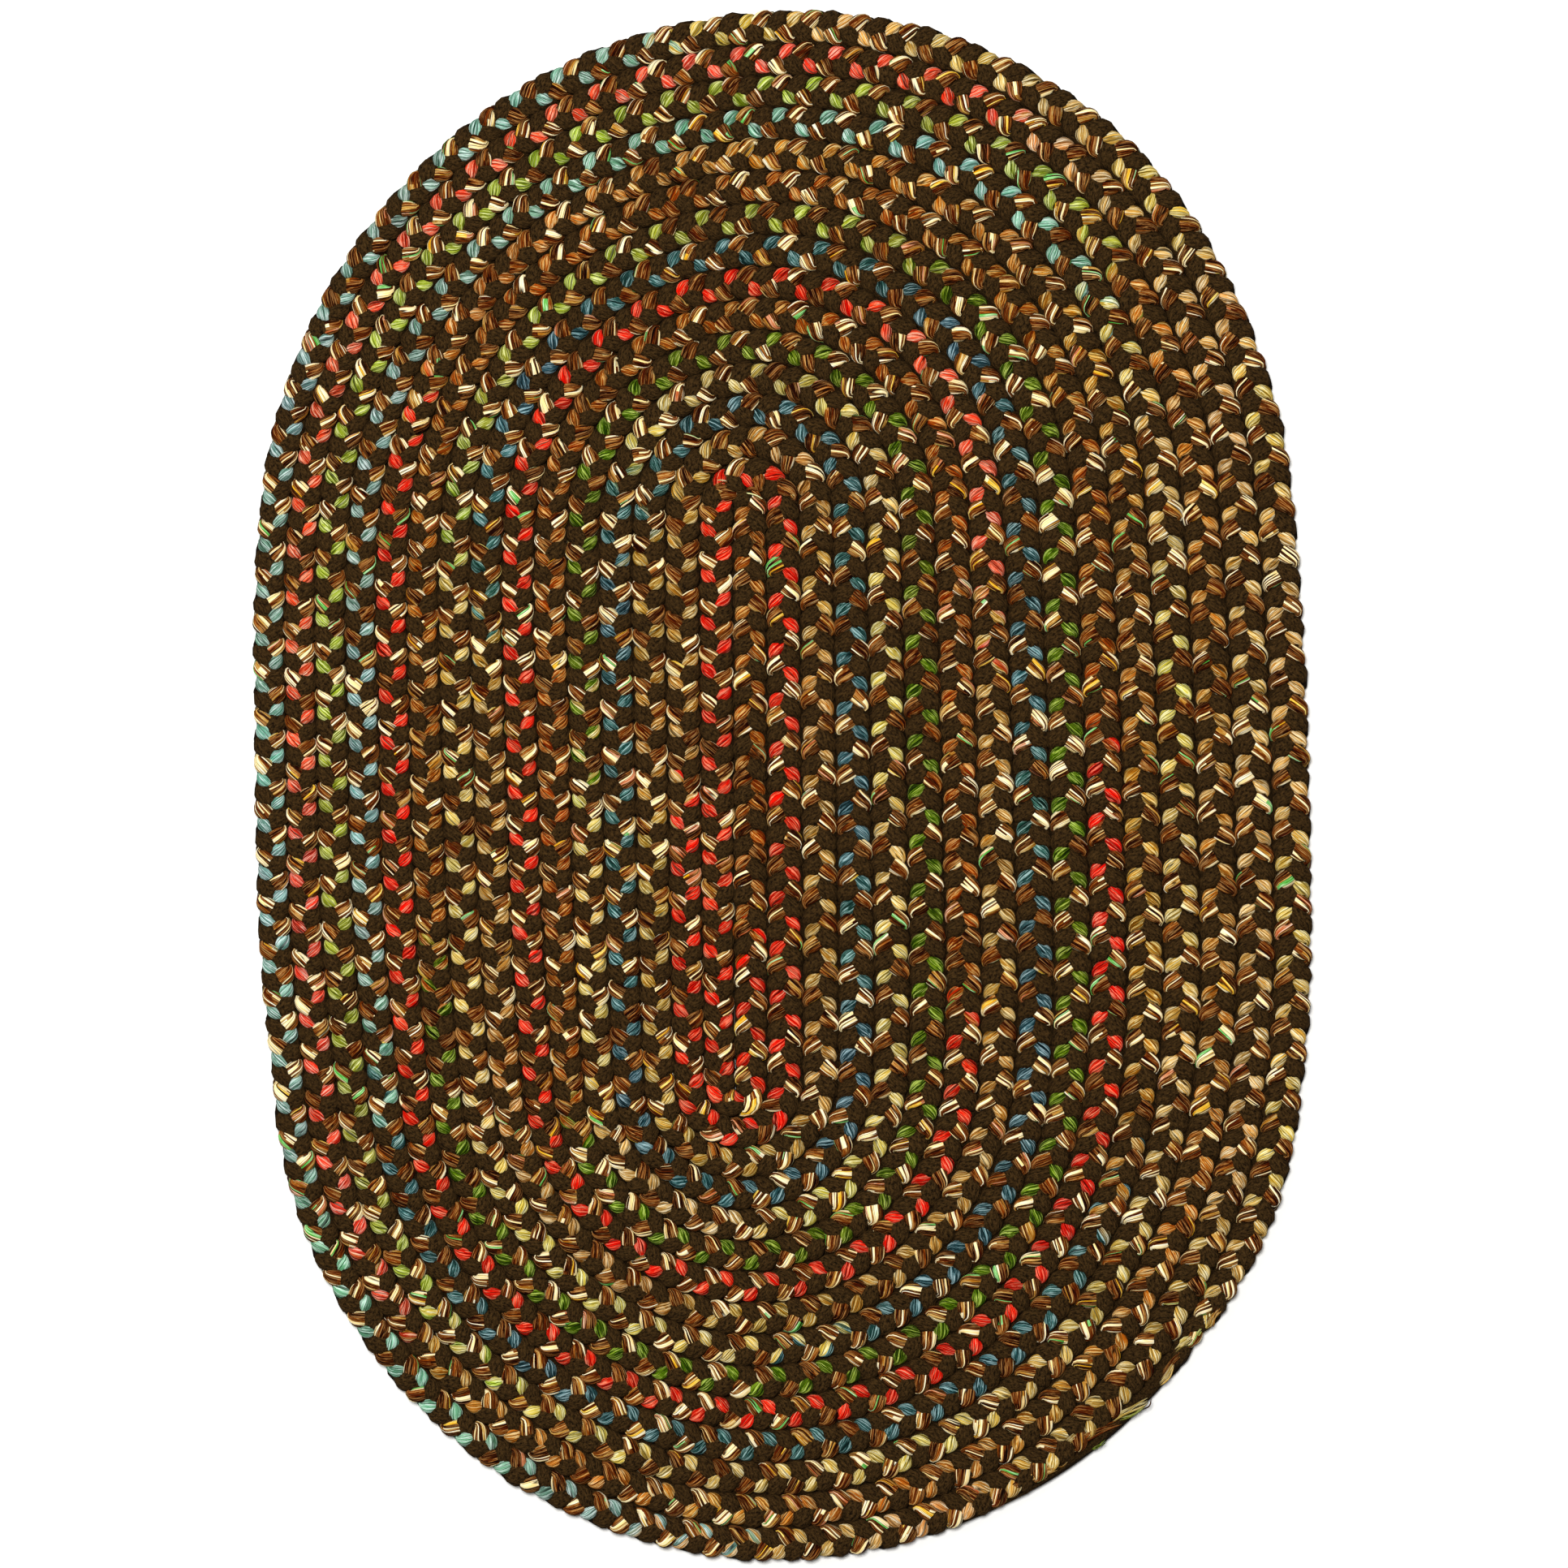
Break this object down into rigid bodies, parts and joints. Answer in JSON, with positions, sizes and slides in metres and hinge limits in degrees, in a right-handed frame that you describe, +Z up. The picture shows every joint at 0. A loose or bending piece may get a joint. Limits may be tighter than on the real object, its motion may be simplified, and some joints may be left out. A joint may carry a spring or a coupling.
{
  "type": "braided rug",
  "caption": "Oval floor rug wound from one flat three-strand wool braid, laced edge to edge, with a tapered end at one side.",
  "frame": {"origin": "centre of the bounding box, on the floor", "axes": "+Z up, +Y along the rug's length, +X to its right, the tapered end of the braid at lower right (+X, -Y)"},
  "size_m": [0.6091, 0.8919, 0.0095],
  "materials": {
    "braided_wool": "matte, heathered yarn in three plaited strands"
  },
  "bodies": {
    "root": {"rug": "braided_wool"}
  },
  "joints": []
}
